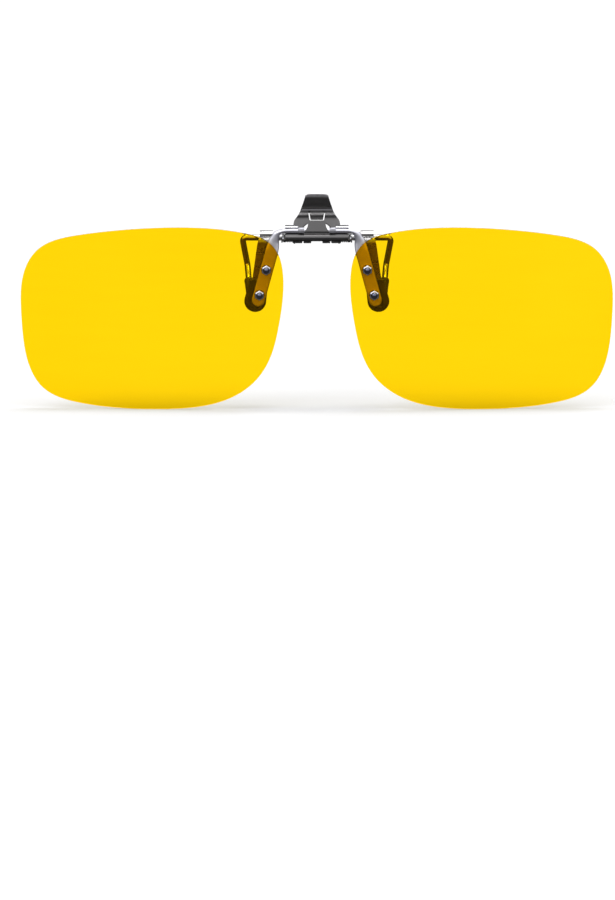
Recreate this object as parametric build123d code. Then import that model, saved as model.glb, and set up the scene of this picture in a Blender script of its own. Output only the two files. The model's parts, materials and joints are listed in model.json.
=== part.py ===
from build123d import *
import math
import os

# Clip-on flip lenses: a spring clamp that grips the bridge of a pair of
# spectacles, carrying two tinted lenses on a bar that swings up.
# Millimetres. +X to the right seen from the front, -Y to the front, +Z up.
# The model is drawn about the flip axis (Y = 0) and moved at the end so that
# the origin lies between the clamp pads.

# ---------------------------------------------------------------- dimensions
LENS_T = 1.0            # lens thickness
LENS_R = 260.0          # radius of the lens' vertical-axis cylinder curve
LENS_TANGENT_X = 12.5   # where the lens surface is square to Y
LENS_BACK_Y = -1.15     # back face of the lens at LENS_TANGENT_X

ROD_Z = 2.10            # flip axis height
ROD_R = 0.57
ARM_T = 0.9             # flat arm thickness
ARM_W = 3.05            # flat arm width
SCREWS = [(11.75, -6.95), (13.34, -12.80)]   # lens screws, X and Z

BAR_Y, BAR_Z = 11.0, -0.27   # rear jaw pivot
BAR_R = 0.70
CORNER_X = 17.40
RUN = 0.05              # running clearance, radial

PLATE_TOP = 0.20
SHEET = 0.8
LEG_Y0 = 2.9            # front face of the front legs
LEG_Y1 = LEG_Y0 + SHEET
PLATE_BACK = 5.5        # rear edge of the middle of the base plate
FLANGE_X0, FLANGE_X1 = 10.2, 13.3

BARREL_Y, BARREL_Z, BARREL_R, PIN_R = 0.10, 0.53, 0.92, 0.40
PIN_Z = 0.25            # the pin sits a little low in the barrel

PAD_T = 1.8             # front pad, front to back
REAR_PAD_R = 1.10
WIRE_R = 0.70

ORIGIN = (0.0, 4.35, -12.6)   # clamp centre in the drawing frame

# lens outline, right-hand lens seen from the front (X, Z)
OUTLINE = [
    (34.11, 2.87), (38.54, 2.71), (42.96, 2.43), (47.37, 2.02), (51.78, 1.50),
    (56.17, 0.83), (60.51, -0.16), (64.48, -2.12), (67.22, -5.40), (68.64, -9.50),
    (69.00, -13.89), (68.85, -18.32), (68.50, -22.73), (67.80, -27.09), (66.40, -31.20),
    (63.92, -34.65), (60.11, -36.90), (55.84, -38.04), (51.47, -38.74), (47.07, -39.17),
    (42.65, -39.40), (38.22, -39.46), (33.79, -39.38), (29.37, -39.08), (25.00, -38.38),
    (20.77, -37.08), (16.88, -34.97), (13.62, -32.02), (11.27, -28.35), (9.77, -24.21),
    (8.82, -19.89), (8.12, -15.52), (7.76, -11.11), (8.00, -6.71), (9.30, -2.64),
    (12.35, 0.26), (16.50, 1.55), (20.86, 2.28), (25.26, 2.71), (29.69, 2.88),
]


# ---------------------------------------------------------------- helpers
def cyl_x(r, x0, x1, y, z):
    """Solid cylinder along X."""
    return Pos((x0 + x1) / 2, y, z) * Rot(0, 90, 0) * Cylinder(r, x1 - x0)


def cyl_y(r, y0, y1, x, z):
    """Solid cylinder along Y."""
    return Pos(x, (y0 + y1) / 2, z) * Rot(90, 0, 0) * Cylinder(r, y1 - y0)


def box(x0, x1, y0, y1, z0, z1):
    return Pos((x0 + x1) / 2, (y0 + y1) / 2, (z0 + z1) / 2) * Box(x1 - x0, y1 - y0, z1 - z0)


def plate_xz(pts, y0, y1):
    """A closed outline in the XZ plane, pushed from y0 to y1."""
    wire = Polyline(*[(x, y0, z) for x, z in pts], close=True)
    return Solid.extrude(Face(Wire(wire.edges())), Vector(0, y1 - y0, 0))


def plate_yz(pts, x0, x1):
    """A closed outline in the YZ plane, pushed from x0 to x1."""
    wire = Polyline(*[(x0, y, z) for y, z in pts], close=True)
    return Solid.extrude(Face(Wire(wire.edges())), Vector(x1 - x0, 0, 0))


def right(shape):
    """The mirror image on the other side of the middle plane."""
    return mirror(shape, about=Plane.YZ)


def thick_path(path, t):
    """Outline of a strip of thickness t along an open 2-D path."""
    n = len(path)
    off = []
    for i, p in enumerate(path):
        a = path[max(i - 1, 0)]
        b = path[min(i + 1, n - 1)]
        d1 = (p[0] - a[0], p[1] - a[1]) if i else (b[0] - p[0], b[1] - p[1])
        d2 = (b[0] - p[0], b[1] - p[1]) if i < n - 1 else d1
        l1, l2 = math.hypot(*d1), math.hypot(*d2)
        n1 = (-d1[1] / l1, d1[0] / l1)
        n2 = (-d2[1] / l2, d2[0] / l2)
        m = (n1[0] + n2[0], n1[1] + n2[1])
        ml = math.hypot(*m)
        m = (m[0] / ml, m[1] / ml)
        k = 1.0 / max(0.5, m[0] * n1[0] + m[1] * n1[1])
        off.append((p[0] + m[0] * t * k, p[1] + m[1] * t * k))
    return list(path) + off[::-1]


parts = {}

# ---------------------------------------------------------------- lens unit
def lens_blank(y_front_extra=0.0):
    """The curved sheet the lens is cut from: a cylinder shell about a vertical axis."""
    cy = LENS_BACK_Y + LENS_R
    outer = Pos(LENS_TANGENT_X, cy, -18) * Cylinder(LENS_R + LENS_T, 60)
    inner = Pos(LENS_TANGENT_X, cy, -18) * Cylinder(LENS_R, 62)
    return outer - inner


def screw_holes(r):
    s = None
    for x, z in SCREWS:
        c = cyl_y(r, -8, 8, x, z)
        s = c if s is None else s + c
    return s


SHANK_R = 0.55
edge = Spline(*[(x, -12, z) for x, z in OUTLINE], periodic=True)
prism = Solid.extrude(Face(Wire([edge])), Vector(0, 24, 0))
lens_r = (lens_blank() & prism) - screw_holes(SHANK_R)
parts["right_lens"] = lens_r
parts["left_lens"] = right(lens_r)

# the bar: round rod in the middle, bent down and flattened into two arms
ARM_DIR = math.radians(15.5)
ax, az = 10.47, -2.67
dx, dz = math.sin(ARM_DIR), -math.cos(ARM_DIR)


def on_arm(s, side):
    """Point at distance s down the arm, side mm off its centre line (+ is outward)."""
    return (ax + dx * s + math.cos(ARM_DIR) * side, az + dz * s + math.sin(ARM_DIR) * side)


arm_len = 11.75
h = ARM_W / 2
ROD_END = 8.0
outer_bend = [(7.6, 2.58), (8.30, 2.41), (9.25, 2.10), (10.12, 1.56), (10.68, 0.72), (11.28, -0.22),
              (11.68, -1.25), on_arm(0, h)]
inner_bend = [on_arm(0, -h), (8.78, -1.80), (8.72, -0.60), (8.62, 0.35), (8.40, 1.05), (8.02, 1.45),
              (7.6, 1.56)]
e1 = Spline(*[(x, -ARM_T / 2, z) for x, z in outer_bend],
            tangents=[(1, 0, 0), (math.sin(ARM_DIR), 0, -math.cos(ARM_DIR))])
e2 = Line((*[on_arm(0, h)[0], -ARM_T / 2, on_arm(0, h)[1]],), (on_arm(arm_len, h)[0], -ARM_T / 2, on_arm(arm_len, h)[1]))
tip_mid = (on_arm(arm_len + h, 0)[0], -ARM_T / 2, on_arm(arm_len + h, 0)[1])
e3 = ThreePointArc((on_arm(arm_len, h)[0], -ARM_T / 2, on_arm(arm_len, h)[1]), tip_mid,
                   (on_arm(arm_len, -h)[0], -ARM_T / 2, on_arm(arm_len, -h)[1]))
e4 = Line((on_arm(arm_len, -h)[0], -ARM_T / 2, on_arm(arm_len, -h)[1]), (on_arm(0, -h)[0], -ARM_T / 2, on_arm(0, -h)[1]))
e5 = Spline(*[(x, -ARM_T / 2, z) for x, z in inner_bend],
            tangents=[(-math.sin(ARM_DIR), 0, math.cos(ARM_DIR)), (-1, 0, 0)])
e6 = Line((7.6, -ARM_T / 2, 1.56), (7.6, -ARM_T / 2, 2.58))
arm = Solid.extrude(Face(Wire([e1, e2, e3, e4, e5, e6])), Vector(0, ARM_T, 0))
rod = cyl_x(ROD_R, -ROD_END, ROD_END, 0, ROD_Z)
holes = screw_holes(SHANK_R)
arm_r = arm - holes
bar = rod + arm_r + right(arm_r)
parts["lens_bar"] = bar

# fasteners through lens, spacer and arm
screws = []
nuts = []
washers = []
spacers = []
for sx in (1, -1):
    for x0, z in SCREWS:
        x = sx * x0
        # screw: flat round head behind the arm, shank forward through the lens
        s = cyl_y(SHANK_R, LENS_BACK_Y - LENS_T - 0.30 - 0.55, ARM_T / 2, x, z)
        head = cyl_y(0.95, ARM_T / 2, ARM_T / 2 + 0.55, x, z)
        slot = box(x - 1.2, x + 1.2, ARM_T / 2 + 0.3, ARM_T / 2 + 0.9, z - 0.14, z + 0.14)
        screws.append((s + head) - slot)
        # plain washer on the lens' front face
        yf = LENS_BACK_Y - LENS_T - 0.02
        w = cyl_y(1.00, yf - 0.24, yf, x, z) - cyl_y(SHANK_R, yf - 1, yf + 1, x, z)
        washers.append(w)
        # domed cap nut
        yn = yf - 0.24
        hexagon = [(x + 1.20 * math.sin(math.radians(60 * k)), z + 1.20 * math.cos(math.radians(60 * k)))
                   for k in range(6)]
        body = plate_xz(hexagon, yn - 0.60, yn)
        dome = Pos(x, yn - 0.60, z) * Sphere(0.82)
        dome = dome & box(x - 2, x + 2, yn - 3, yn - 0.59, z - 2, z + 2)
        nut = body + dome
        nut = nut - cyl_y(SHANK_R, LENS_BACK_Y - LENS_T - 0.30 - 0.55, yn + 0.2, x, z)
        nuts.append(nut)
        # nylon spacer between the arm and the lens
        sp = cyl_y(1.15, LENS_BACK_Y + 0.02, -ARM_T / 2, x, z) - cyl_y(SHANK_R, -3, 3, x, z)
        spacers.append(sp)
parts["lens_screws"] = screws
parts["dome_nuts"] = nuts
parts["lens_washers"] = washers
parts["lens_spacers"] = spacers

# ---------------------------------------------------------------- clamp base
# side flange and front leg: an L in side view, trimmed to the front outline
LEG_SLOPE = 0.172


def leg_x(z):
    """Centre line of the front leg."""
    return 11.75 + (PLATE_TOP - z) * LEG_SLOPE


arc_r = 1.1
side = [(LEG_Y0, -15.4)]
for i in range(0, 7):
    a = math.radians(180 - 15 * i)
    side.append((LEG_Y0 + arc_r + arc_r * math.cos(a), PLATE_TOP - arc_r + arc_r * math.sin(a)))
side.append((BAR_Y - 1.2, PLATE_TOP))
side.append((BAR_Y - 1.2, PLATE_TOP - SHEET))
for i in range(0, 7):
    a = math.radians(90 + 15 * i)
    r_in = arc_r - SHEET
    side.append((LEG_Y0 + arc_r + r_in * math.cos(a), PLATE_TOP - arc_r + r_in * math.sin(a)))
side.append((LEG_Y1, -15.4))
strip = plate_yz(side, 9.0, 17.0)
half = 1.55
front = plate_xz([(FLANGE_X0, 2), (FLANGE_X0, -1.0), (leg_x(-1.6) - half, -1.6),
                  (leg_x(-15.4) - half + 0.25, -15.4), (leg_x(-15.4) + half - 0.25, -15.4),
                  (leg_x(-9.0) + half + 0.08, -9.0), (leg_x(-1.6) + half + 0.30, -1.6),
                  (FLANGE_X1 + 0.42, -0.7), (FLANGE_X1 + 0.30, -0.3), (FLANGE_X1, 0.0), (FLANGE_X1, 2)], 0, 14)
leg = strip & front
knuckle = cyl_x(1.68, FLANGE_X0 + 0.05, FLANGE_X1, BAR_Y, BAR_Z)
leg = leg + knuckle - cyl_x(BAR_R + RUN, FLANGE_X0 - 1, FLANGE_X1 + 1, BAR_Y, BAR_Z)
middle = box(-FLANGE_X0 - 0.3, FLANGE_X0 + 0.3, LEG_Y0, PLATE_BACK, PLATE_TOP - 0.55, PLATE_TOP)
base = middle + leg + right(leg)
# crimp fingers under the barrel
for x0, x1 in ((1.3, 3.1), (3.5, 5.6)):
    f = box(x0, x1, -0.45, LEG_Y0 + 0.5, -0.80, -0.42) + box(x0, x1, 2.5, LEG_Y0 + 0.5, -0.80, -0.10)
    base = base + f + right(f)
# cheeks beside the barrel that carry the pin ends
cheek = plate_yz([(-0.62, 0.85), (-0.70, -0.05), (-0.2, PLATE_TOP - SHEET), (LEG_Y0 + 0.2, PLATE_TOP - SHEET),
                  (LEG_Y0 + 0.2, PLATE_TOP), (1.2, PLATE_TOP + 0.05), (0.72, 0.85), (0.1, 1.06)],
                 7.32, 7.75)
cheek = cheek - cyl_x(PIN_R, 7, 9, BARREL_Y, PIN_Z)
base = base + cheek + right(cheek)
RIVETS = [(6.3, 4.2), (-6.3, 4.2), (1.9, 4.2), (-1.9, 4.2)]
for x, y in RIVETS:
    base = base - Pos(x, y, 0) * Cylinder(0.5, 6)
parts["base_plate"] = base

# flip bracket: barrel, two rod loops and the front finger tab in one rolled sheet
tab_front = plate_xz([(-1.95, 4.38), (-1.78, 4.53), (1.78, 4.53), (1.95, 4.38), (2.02, 3.7), (2.2, 2.9),
                      (2.6, 2.38), (2.95, 2.0), (3.0, 1.0), (-3.0, 1.0), (-2.95, 2.0), (-2.6, 2.38),
                      (-2.2, 2.9), (-2.02, 3.7)], -2, 1)
tab_side = plate_yz([(-0.66, 4.6), (-0.95, 2.00), (-0.92, 1.86), (-0.76, 1.68), (-0.45, 1.48), (0.1, 1.25),
                     (-0.20, 1.53), (-0.50, 1.64), (-0.68, 1.92), (-0.32, 4.6)], -3.2, 3.2)
tab = tab_front & tab_side
barrel = cyl_x(BARREL_R, -7.3, 7.3, BARREL_Y, BARREL_Z)
HOOK_R = 0.81
loops = cyl_x(HOOK_R, 2.9, 4.4, 0, ROD_Z) & box(2, 5, -2, 2, ROD_Z - 0.01, 4)
tip = plate_xz([(2.9, 2.2), (2.9, 1.95), (3.02, 1.80), (3.25, 1.70), (3.65, 1.66), (4.05, 1.70), (4.28, 1.80),
                (4.4, 1.95), (4.4, 2.2)], -HOOK_R, -0.52)
web = plate_yz([(0.55, ROD_Z), (HOOK_R, ROD_Z), (HOOK_R, 0.9), (0.55, 0.7)], 2.9, 4.4)
loops = loops + tip + web
neck = box(-3.0, 3.0, -0.32, 0.2, 0.90, 1.44)
TOP2 = PLATE_TOP + 0.42   # upper face of the sheets riveted to the base plate
tail = plate_yz([(0.55, 1.05), (1.20, TOP2), (2.0, TOP2), (5.2, TOP2), (5.2, PLATE_TOP),
                 (0.9, PLATE_TOP), (0.1, 0.2)], -2.9, 2.9)
bracket = barrel + loops + right(loops) + tab + neck + tail
bracket = bracket - cyl_x(ROD_R + RUN, -9, 9, 0, ROD_Z) - cyl_x(PIN_R, -9, 9, BARREL_Y, PIN_Z)
for x, y in RIVETS:
    bracket = bracket - Pos(x, y, 0) * Cylinder(0.5, 6)
parts["flip_bracket"] = bracket

pin = cyl_x(PIN_R, -7.75, 7.75, BARREL_Y, PIN_Z)
end = Pos(7.75, BARREL_Y, PIN_Z) * Sphere(0.42) & box(7.75, 9, -2, 2, -2, 2)
parts["barrel_pin"] = pin + end + right(end)

# spring clips that hook over the rod and hold it where it is put
ring = plate_yz([(1.33, ROD_Z), (1.33, 2.50), (1.20, 2.95), (0.78, 3.38), (-0.10, 3.18), (-0.38, 2.88),
                 (-0.32, 2.76), (0.10, 2.70), (0.69, ROD_Z)], 4.42, 7.38)
ring = ring - cyl_x(ROD_R + RUN, 4, 8, 0, ROD_Z)
back = plate_yz([(0.69, ROD_Z), (1.33, ROD_Z), (1.42, 1.2), (1.80, TOP2), (5.2, TOP2),
                 (5.2, PLATE_TOP), (1.35, PLATE_TOP), (1.12, 0.45), (1.10, 1.1), (0.95, 1.55)],
                4.45, 7.25)
clip = ring + back
clip = clip - cyl_x(ROD_R + RUN, 4, 8, 0, ROD_Z)
for x, y in RIVETS:
    clip = clip - Pos(x, y, 0) * Cylinder(0.5, 6)
parts["right_rod_clip"] = clip
parts["left_rod_clip"] = right(clip)

rivets = []
for x, y in RIVETS:
    shank = Pos(x, y, (PLATE_TOP - 0.55 + TOP2) / 2) * Cylinder(0.5, TOP2 - PLATE_TOP + 0.55)
    low = Pos(x, y, PLATE_TOP - 0.55 - 0.10) * Cylinder(0.80, 0.20)
    cap = Pos(x, y, TOP2 - 0.60) * Sphere(1.05)
    cap = cap & box(x - 2, x + 2, y - 2, y + 2, TOP2, 2.5)
    rivets.append(shank + low + cap)
parts["plate_rivets"] = rivets

# front pads: flat rubber sleeves pushed over the leg ends
def front_pad():
    zc0, zc1 = -9.3, -14.50
    y_mid = LEG_Y0 + SHEET / 2
    rings = [Pos(leg_x(zc1) + 0.06, zc1) * Circle(2.55)]
    for s in (-1, 1):
        rings.append(Pos(leg_x(zc0 - 0.6) + s * 1.55, zc0 - 0.6) * Circle(0.6))
    outline = make_hull([e for r in rings for e in r.edges()])
    solid = extrude(outline, PAD_T)
    solid = Pos(0, y_mid + PAD_T / 2, 0) * Rot(90, 0, 0) * solid
    rim = [e for e in solid.edges() if abs(e.center().Y - y_mid) > PAD_T / 2 - 0.05]
    return fillet(rim, 0.42)


fp = front_pad()
fp = fp - leg
parts["right_front_pad"] = fp
parts["left_front_pad"] = right(fp)

# ---------------------------------------------------------------- rear jaw
KNEE = (16.18, 12.5, -6.85)
PAD_TOP = (15.88, 8.5, -9.80)
PAD_END = (15.02, 5.66, -15.5)
route = [(CORNER_X, BAR_Y, BAR_Z), KNEE, PAD_TOP, PAD_END]


def rod_between(p, q, r):
    v = Vector(*q) - Vector(*p)
    pl = Plane(origin=p, z_dir=v)
    return pl * Pos(0, 0, v.length / 2) * Cylinder(r, v.length)


def ball(p, r):
    return Pos(*p) * Sphere(r)


wire_leg = (rod_between(route[0], route[1], WIRE_R) + ball(route[1], WIRE_R)
            + rod_between(route[1], route[2], WIRE_R) + ball(route[2], WIRE_R)
            + rod_between(route[2], route[3], WIRE_R) + ball(route[0], BAR_R))
rear_bar = cyl_x(BAR_R, -CORNER_X, CORNER_X, BAR_Y, BAR_Z)
parts["rear_wire"] = rear_bar + wire_leg + right(wire_leg)

v = Vector(*PAD_END) - Vector(*PAD_TOP)
u = v.normalized()
p0 = Vector(*PAD_TOP) - u * 0.2
p1 = Vector(*PAD_END) + u * 0.1
sleeve = rod_between(tuple(p0), tuple(p1), REAR_PAD_R) + ball(tuple(p1), REAR_PAD_R)
sleeve = sleeve - rod_between(route[2], route[3], WIRE_R) - ball(route[2], WIRE_R) \
    - rod_between(route[1], route[2], WIRE_R)
parts["right_rear_pad"] = sleeve
parts["left_rear_pad"] = right(sleeve)

# thumb plate: stamped sheet standing on the rear bar, leaning forward at the top
TP_T = 0.6
prof = [(10.70, 0.38), (10.95, 1.78), (11.20, 3.38), (11.42, 4.95), (11.52, 5.80), (11.50, 6.45), (11.30, 6.95),
        (10.88, 7.45), (10.30, 8.05), (9.66, 8.70), (9.25, 9.20), (9.07, 9.60), (9.03, 9.90), (9.05, 10.20)]
sheet = plate_yz(thick_path(prof, TP_T), -6, 6)
outl = [(-4.55, -0.5), (-4.55, 1.5), (-5.25, 1.95), (-5.44, 2.55), (-5.44, 2.9), (-5.30, 3.6), (-5.14, 4.0),
        (-4.72, 4.5), (-4.36, 5.0), (-3.93, 5.8), (-3.58, 6.7), (-3.13, 8.05), (-2.80, 9.15), (-2.70, 9.7),
        (-2.40, 10.0), (-1.95, 10.25), (-1.8, 11.0)]
outl = outl + [(-x, z) for x, z in outl[::-1]]
tp = sheet & plate_xz(outl, 4, 14)
# arch between the feet
arch = plate_xz([(-3.35, -2), (-3.35, 1.7), (-2.9, 2.4), (-2.1, 3.1), (-1.0, 3.35), (1.0, 3.35),
                 (2.1, 3.1), (2.9, 2.4), (3.35, 1.7), (3.35, -2)], 4, 14)
tp = tp - arch
# U-shaped slit that frees the middle tongue
slit = plate_xz([(1.44, 3.74), (1.68, 3.74), (1.96, 5.46), (1.70, 5.46)], 4, 14)
under = box(-1.68, 1.68, 4, 14, 3.74, 3.90)
tp = tp - slit - right(slit) - under
foot = cyl_x(1.25, 3.35, 4.55, BAR_Y, BAR_Z)
tp = tp + foot + right(foot) - cyl_x(BAR_R, -8, 8, BAR_Y, BAR_Z)
# rolled bead under the thumb area
for zr, hw in ((5.12, 4.1), (5.95, 3.7)):
    tp = tp + cyl_x(0.40, -hw, hw, 11.17, zr)
parts["thumb_plate"] = tp

# torsion springs on the rear bar
SP_WIRE = 0.17
SP_R = 0.96
coils = []
pitch = 0.42
x0, turns = 5.2, 7
height = pitch * turns
helix = Helix(pitch=pitch, height=height, radius=SP_R)
prof_w = Plane(origin=helix @ 0, z_dir=helix % 0) * Circle(SP_WIRE)
coil = sweep(prof_w, path=helix, is_frenet=True)
coil = Pos(x0, BAR_Y, BAR_Z) * Rot(0, 90, 0) * coil
# helix start is at the local +X direction, which the turn carries to -Z
leg_in = rod_between((x0, BAR_Y, BAR_Z - SP_R), (x0, BAR_Y - 5.2, BAR_Z - SP_R), SP_WIRE)
leg_out = rod_between((x0 + height, BAR_Y, BAR_Z - SP_R), (x0 + height, BAR_Y + 1.7, BAR_Z - SP_R - 0.2), SP_WIRE)
spring = coil + leg_in + ball((x0, BAR_Y, BAR_Z - SP_R), SP_WIRE) \
    + leg_out + ball((x0 + height, BAR_Y, BAR_Z - SP_R), SP_WIRE)
parts["right_jaw_spring"] = spring
parts["left_jaw_spring"] = right(spring)

# ---------------------------------------------------------------- write
os.makedirs("parts", exist_ok=True)
shift = Pos(-ORIGIN[0], -ORIGIN[1], -ORIGIN[2])
for name, shape in parts.items():
    if isinstance(shape, list):
        group = Compound(children=[shift * s for s in shape])
        export_step(group, f"parts/{name}.step")
        vol = sum(s.volume for s in shape)
    else:
        moved = shift * shape
        export_step(moved, f"parts/{name}.step")
        vol = shape.volume
    print(f"{name:18s} {vol:9.2f} mm3")
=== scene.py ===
import bpy, bmesh, json, math
import numpy as np
from mathutils import Vector, Matrix
from mathutils.geometry import delaunay_2d_cdt


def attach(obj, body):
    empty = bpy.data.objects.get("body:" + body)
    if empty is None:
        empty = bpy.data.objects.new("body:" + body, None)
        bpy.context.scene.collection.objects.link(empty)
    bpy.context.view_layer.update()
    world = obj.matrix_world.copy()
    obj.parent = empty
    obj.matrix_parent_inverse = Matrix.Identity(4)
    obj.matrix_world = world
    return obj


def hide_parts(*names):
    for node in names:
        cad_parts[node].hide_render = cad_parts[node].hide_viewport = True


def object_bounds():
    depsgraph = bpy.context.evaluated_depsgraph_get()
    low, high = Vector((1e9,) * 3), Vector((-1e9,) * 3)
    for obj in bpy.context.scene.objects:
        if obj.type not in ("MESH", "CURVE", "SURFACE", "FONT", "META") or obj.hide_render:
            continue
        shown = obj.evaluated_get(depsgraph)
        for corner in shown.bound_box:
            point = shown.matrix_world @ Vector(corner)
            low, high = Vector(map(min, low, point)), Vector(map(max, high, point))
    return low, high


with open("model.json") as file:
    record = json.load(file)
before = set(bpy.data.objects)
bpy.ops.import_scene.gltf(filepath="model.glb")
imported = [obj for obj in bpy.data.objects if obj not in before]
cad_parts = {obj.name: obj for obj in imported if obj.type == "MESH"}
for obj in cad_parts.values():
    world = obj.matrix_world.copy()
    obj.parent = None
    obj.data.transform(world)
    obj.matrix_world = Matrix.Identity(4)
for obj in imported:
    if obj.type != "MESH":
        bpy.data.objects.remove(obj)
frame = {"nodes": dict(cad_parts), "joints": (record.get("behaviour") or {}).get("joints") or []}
cad_box = [list(map(float, c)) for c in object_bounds()]

# ------------------------------------------------------------------ frame
# The drawing frame (millimetres, Y = 0 on the flip axis) is placed by the flip joint.
flip = next(j for j in frame["joints"] if j["name"] == "lens_flip")
jaw = next(j for j in frame["joints"] if j["name"] == "jaw_open")
ROD_Z, ROD_R = 2.10, 0.57
OFF = Vector(flip["pos_m"]) - Vector((0, 0, ROD_Z / 1000))
BAR = (Vector(jaw["pos_m"]) - OFF) * 1000          # rear pivot in the drawing frame
BAR_Y, BAR_Z = BAR.y, BAR.z


def M(p):
    return (p[0] / 1000 + OFF.x, p[1] / 1000 + OFF.y, p[2] / 1000 + OFF.z)


# ------------------------------------------------------------------ materials
def new_mat(name):
    m = bpy.data.materials.new(name)
    m.use_nodes = True
    nt = m.node_tree
    for n in list(nt.nodes):
        nt.nodes.remove(n)
    out = nt.nodes.new("ShaderNodeOutputMaterial")
    bsdf = nt.nodes.new("ShaderNodeBsdfPrincipled")
    nt.links.new(bsdf.outputs[0], out.inputs[0])
    return m, nt, bsdf, out


def coords(nt, scale=(1, 1, 1), rot=(0, 0, 0)):
    tc = nt.nodes.new("ShaderNodeTexCoord")
    mp = nt.nodes.new("ShaderNodeMapping")
    mp.inputs["Scale"].default_value = scale
    mp.inputs["Rotation"].default_value = rot
    nt.links.new(tc.outputs["Object"], mp.inputs["Vector"])
    return mp.outputs[0]


def noise(nt, vec, scale, detail=3.0, rough=0.55):
    n = nt.nodes.new("ShaderNodeTexNoise")
    n.inputs["Scale"].default_value = scale
    n.inputs["Detail"].default_value = detail
    n.inputs["Roughness"].default_value = rough
    nt.links.new(vec, n.inputs["Vector"])
    return n.outputs["Fac"]


def ramp(nt, fac, stops):
    r = nt.nodes.new("ShaderNodeValToRGB")
    e = r.color_ramp.elements
    while len(e) < len(stops):
        e.new(0.5)
    for i, (p, c) in enumerate(stops):
        e[i].position = p
        e[i].color = (*c, 1.0)
    nt.links.new(fac, r.inputs[0])
    return r.outputs[0]


def maprange(nt, fac, lo, hi):
    r = nt.nodes.new("ShaderNodeMapRange")
    r.inputs["From Min"].default_value = 0.25
    r.inputs["From Max"].default_value = 0.75
    r.inputs["To Min"].default_value = lo
    r.inputs["To Max"].default_value = hi
    nt.links.new(fac, r.inputs[0])
    return r.outputs[0]


def bump(nt, height, strength, dist):
    b = nt.nodes.new("ShaderNodeBump")
    b.inputs["Strength"].default_value = strength
    b.inputs["Distance"].default_value = dist
    nt.links.new(height, b.inputs["Height"])
    return b.outputs[0]


def metal(name, dark, light, r_lo, r_hi, stretch=(1, 1, 1), scale=900.0, bump_s=0.12, metallic=1.0,
          coat=0.0, wear=None, wear_scale=420.0):
    """Plated or bare metal: fine directional polish lines, mottled tone and edge wear."""
    m, nt, b, out = new_mat(name)
    v = coords(nt, stretch)
    fine = noise(nt, v, scale, 4.0, 0.6)
    broad = noise(nt, coords(nt), 160.0, 2.0, 0.5)
    col = ramp(nt, broad, [(0.30, dark), (0.70, light)])
    if wear is not None:
        geo = nt.nodes.new("ShaderNodeNewGeometry")
        edge = ramp(nt, geo.outputs["Pointiness"], [(0.505, (0, 0, 0)), (0.56, (1, 1, 1))])
        patch = noise(nt, coords(nt), wear_scale, 3.0, 0.6)
        mul = nt.nodes.new("ShaderNodeMath"); mul.operation = "MULTIPLY"
        nt.links.new(edge, mul.inputs[0]); nt.links.new(patch, mul.inputs[1])
        mix = nt.nodes.new("ShaderNodeMix"); mix.data_type = "RGBA"
        nt.links.new(mul.outputs[0], mix.inputs["Factor"])
        nt.links.new(col, mix.inputs["A"])
        mix.inputs["B"].default_value = (*wear, 1)
        col = mix.outputs["Result"]
    nt.links.new(col, b.inputs["Base Color"])
    b.inputs["Metallic"].default_value = metallic
    nt.links.new(maprange(nt, fine, r_lo, r_hi), b.inputs["Roughness"])
    nt.links.new(bump(nt, fine, bump_s, 0.00003), b.inputs["Normal"])
    if coat:
        b.inputs["Coat Weight"].default_value = coat
        b.inputs["Coat Roughness"].default_value = 0.08
    return m


gunmetal = metal("gunmetal_sheet", (0.145, 0.142, 0.144), (0.190, 0.187, 0.190), 0.28, 0.36, (1, 1, 0.4), 900.0, 0.03)
wire_steel = metal("rear_wire_steel", (0.50, 0.50, 0.50), (0.60, 0.60, 0.605), 0.20, 0.28, (0.4, 1, 1), 900.0, 0.03)
bar_steel = metal("polished_bar", (0.74, 0.74, 0.81), (0.82, 0.82, 0.90), 0.29, 0.35, (0.4, 1, 1), 900.0, 0.02)
spring_steel = metal("bright_spring", (0.76, 0.76, 0.78), (0.86, 0.86, 0.88), 0.16, 0.22, (0.4, 1, 1), 900.0, 0.02)
# A darker copy of the spring steel for the torsion coils: the darkness is painted shade, not a different finish.
coil_painted_shade_steel = metal("coil_spring_painted_shade", (0.20, 0.20, 0.205), (0.27, 0.27, 0.275), 0.22, 0.30, (0.4, 1, 1), 900.0, 0.02)
plate_steel = metal("bright_sheet", (0.24, 0.24, 0.245), (0.30, 0.30, 0.31), 0.26, 0.33, (1, 0.4, 1), 900.0, 0.03)
chrome = metal("chrome_fastener", (0.68, 0.69, 0.75), (0.82, 0.83, 0.87), 0.07, 0.11, (1, 1, 1), 1200.0, 0.02)


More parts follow.
